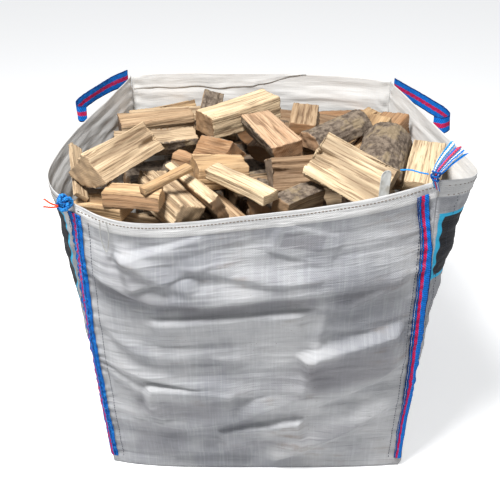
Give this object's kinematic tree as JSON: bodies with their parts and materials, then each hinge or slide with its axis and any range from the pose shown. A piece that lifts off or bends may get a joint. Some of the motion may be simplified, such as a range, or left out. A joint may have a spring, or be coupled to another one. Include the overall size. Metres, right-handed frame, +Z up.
{
  "type": "bulk bag of firewood",
  "caption": "Open-topped woven bulk bag with striped webbing and lifting loops, heaped with split hardwood firewood.",
  "frame": {"origin": "on the ground under the middle of the bag, on the base panel's underside", "axes": "+Z up; -Y out of the front panel, the one with the knots and tapes; +X to the right seen from the front"},
  "size_m": [1.1229, 0.9853, 1.0047],
  "materials": {
    "cloth": "coated woven tape, slightly glossy, dusty",
    "webbing": "ribbed blue webbing with a crimson centre stripe",
    "cord": "twisted blue cord",
    "orange_twine": "frayed polypropylene twine",
    "tape": "white sewing tape",
    "wood": "rough split hardwood, dry"
  },
  "bodies": {
    "root": {"base_panel": "cloth", "front_panel": "cloth", "rear_panel": "cloth", "right_panel": "cloth", "left_panel": "cloth", "front_left_webbing": "webbing", "front_right_webbing": "webbing", "rear_right_webbing": "webbing", "rear_left_webbing": "webbing", "rear_right_loop": "webbing", "rear_left_loop": "webbing", "front_right_fan": "webbing", "front_right_knot": "cord", "front_right_cord": "cord", "front_left_knot": "cord", "front_left_twine": "orange_twine", "front_standing_tape": "tape", "front_hanging_tape": "tape", "buried_logs": "wood", "log_1": "wood", "log_2": "wood", "log_3": "wood", "log_4": "wood", "log_5": "wood", "log_6": "wood", "log_7": "wood", "log_8": "wood", "log_9": "wood", "log_10": "wood", "log_11": "wood", "log_12": "wood", "log_13": "wood", "log_14": "wood", "log_15": "wood", "log_16": "wood", "log_17": "wood", "log_18": "wood", "log_19": "wood", "log_20": "wood", "log_21": "wood", "log_22": "wood", "log_23": "wood", "log_24": "wood", "log_25": "wood", "log_26": "wood", "log_27": "wood", "log_28": "wood", "log_29": "wood", "log_30": "wood", "log_31": "wood", "log_32": "wood", "log_33": "wood", "log_34": "wood", "log_35": "wood", "log_36": "wood", "log_37": "wood", "log_38": "wood", "log_39": "wood", "log_40": "wood"}
  },
  "joints": []
}
